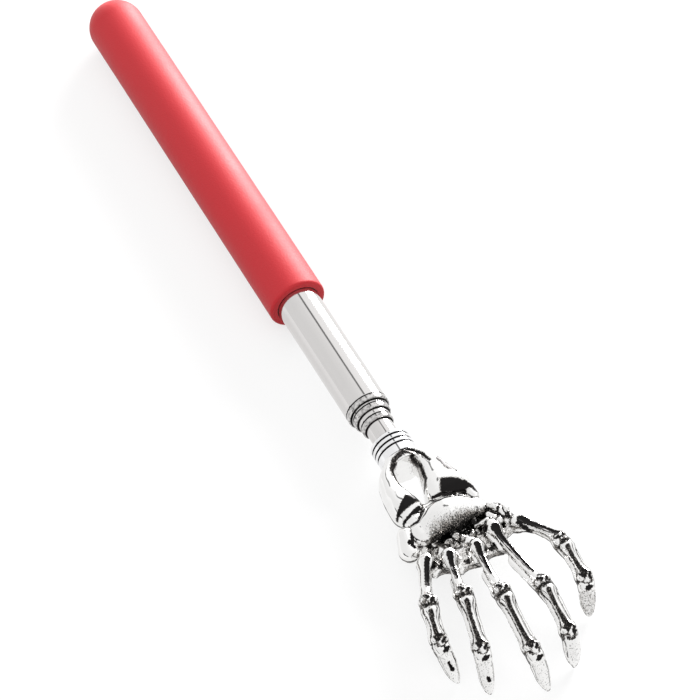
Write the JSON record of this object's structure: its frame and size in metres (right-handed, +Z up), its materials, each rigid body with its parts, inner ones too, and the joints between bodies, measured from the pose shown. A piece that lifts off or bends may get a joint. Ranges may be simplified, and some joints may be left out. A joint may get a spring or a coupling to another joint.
{
  "type": "telescopic back scratcher",
  "caption": "Telescopic back scratcher: red foam grip, nested steel tubes that slide and swivel, and a chromed cast skeleton hand whose curved claws scratch.",
  "frame": {"origin": "on the tubes' axis, halfway along the grip's straight wall", "axes": "+X along the tubes towards the hand, +Y towards the thumb, +Z up out of the back of the hand"},
  "size_m": [0.2441, 0.0436, 0.0152],
  "materials": {
    "red_foam": "matt closed-cell foam",
    "dark_plastic": "moulded",
    "polished_steel": "polished",
    "spring_brass": "rolled strip",
    "chrome_collar": "bright chrome plate",
    "chrome_casting": "bright chrome plate over a casting"
  },
  "bodies": {
    "handle": {"foam_grip": "red_foam", "butt_plug": "dark_plastic", "outer_tube": "polished_steel"},
    "second_shims": {"second_shim_upper": "spring_brass", "second_shim_lower": "spring_brass"},
    "second_stage": {"second_tube": "polished_steel"},
    "third_shims": {"third_shim_upper": "spring_brass", "third_shim_lower": "spring_brass"},
    "third_stage": {"third_tube": "polished_steel"},
    "fourth_shims": {"fourth_shim_upper": "spring_brass", "fourth_shim_lower": "spring_brass"},
    "fourth_stage": {"fourth_tube": "polished_steel", "wrist_ferrule": "chrome_collar", "skeleton_hand": "chrome_casting"}
  },
  "joints": [
    {"name": "second_slide", "type": "slide", "parent": "handle", "child": "second_shims", "axis": [1, 0, 0], "range_m": [0, 0.1341]},
    {"name": "second_swivel", "type": "hinge", "parent": "second_shims", "child": "second_stage", "pos_m": [0, 0, 0], "axis": [1, 0, 0], "continuous": true},
    {"name": "third_slide", "type": "slide", "parent": "second_stage", "child": "third_shims", "axis": [1, 0, 0], "range_m": [0, 0.1355]},
    {"name": "third_swivel", "type": "hinge", "parent": "third_shims", "child": "third_stage", "pos_m": [0, 0, 0], "axis": [1, 0, 0], "continuous": true},
    {"name": "fourth_slide", "type": "slide", "parent": "third_stage", "child": "fourth_shims", "axis": [1, 0, 0], "range_m": [0, 0.1376]},
    {"name": "fourth_swivel", "type": "hinge", "parent": "fourth_shims", "child": "fourth_stage", "pos_m": [0, 0, 0], "axis": [1, 0, 0], "continuous": true}
  ]
}
